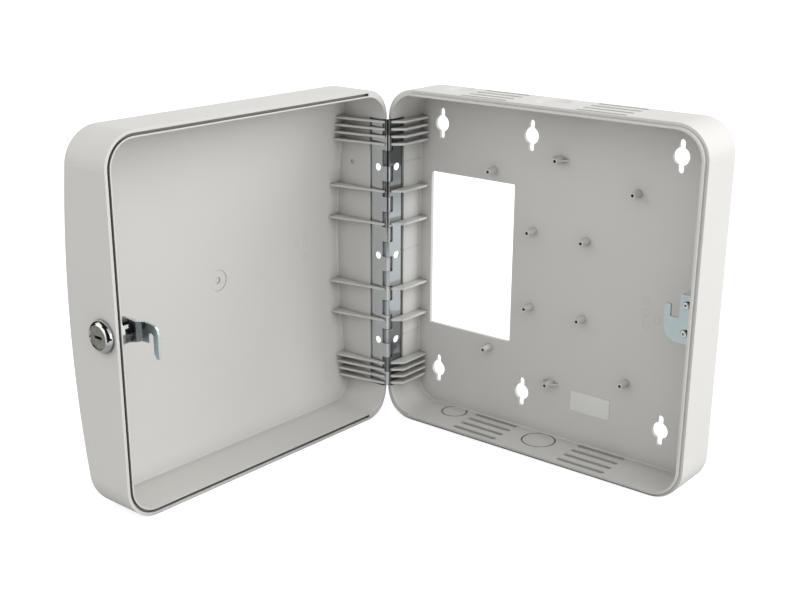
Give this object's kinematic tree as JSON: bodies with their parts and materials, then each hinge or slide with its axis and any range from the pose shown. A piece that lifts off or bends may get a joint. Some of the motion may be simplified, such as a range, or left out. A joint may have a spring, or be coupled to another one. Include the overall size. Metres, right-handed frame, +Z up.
{
  "type": "enclosure",
  "caption": "Lockable wall enclosure for a wireless access point: square plastic box with a hinged door standing open, key lock with cam, zinc catch, keyhole mounts, vents and cable cut-out",
  "frame": {"origin": "middle of the back face of the rear half, in the plane that goes against the wall", "axes": "+X towards the catch side, away from the hinge; +Y out of the back face, at the wall; +Z up as hung"},
  "size_m": [0.3431, 0.3258, 0.2794],
  "materials": {
    "housing_plastic": "fine matt moulded ABS, light warm grey",
    "zinc_steel": "bright zinc plate, slightly blue",
    "pin_steel": "plain drawn wire",
    "screw_steel": "zinc plated screw",
    "label_film": "bare silver-grey film",
    "chrome_trim": "polished chrome plate",
    "plug_metal": "satin nickel plate",
    "brass_wafers": "stamped brass"
  },
  "bodies": {
    "base": {"rear_housing": "housing_plastic", "hinge_leaf_rear": "zinc_steel", "hinge_pin": "pin_steel", "catch_plate": "zinc_steel", "catch_screws": "screw_steel", "blank_label": "label_film"},
    "door": {"door_shell": "housing_plastic", "hinge_leaf_door": "zinc_steel", "lock_body": "chrome_trim", "lock_washer": "zinc_steel", "lock_nut": "zinc_steel"},
    "lock_rotor": {"lock_plug": "plug_metal", "tumbler_wafers": "brass_wafers", "lock_cam": "zinc_steel", "cam_washer": "zinc_steel", "cam_nut": "zinc_steel"}
  },
  "joints": [
    {"name": "door_hinge", "type": "hinge", "parent": "base", "child": "door", "pos_m": [-0.1393, -0.042, 0], "axis": [0, 0, -1], "range_deg": [-91.5, 38.5]},
    {"name": "lock_turn", "type": "hinge", "parent": "door", "child": "lock_rotor", "pos_m": [-0.1611, -0.32052, 0], "axis": [-0.0262, -0.9997, 0], "range_deg": [0, 90]}
  ]
}
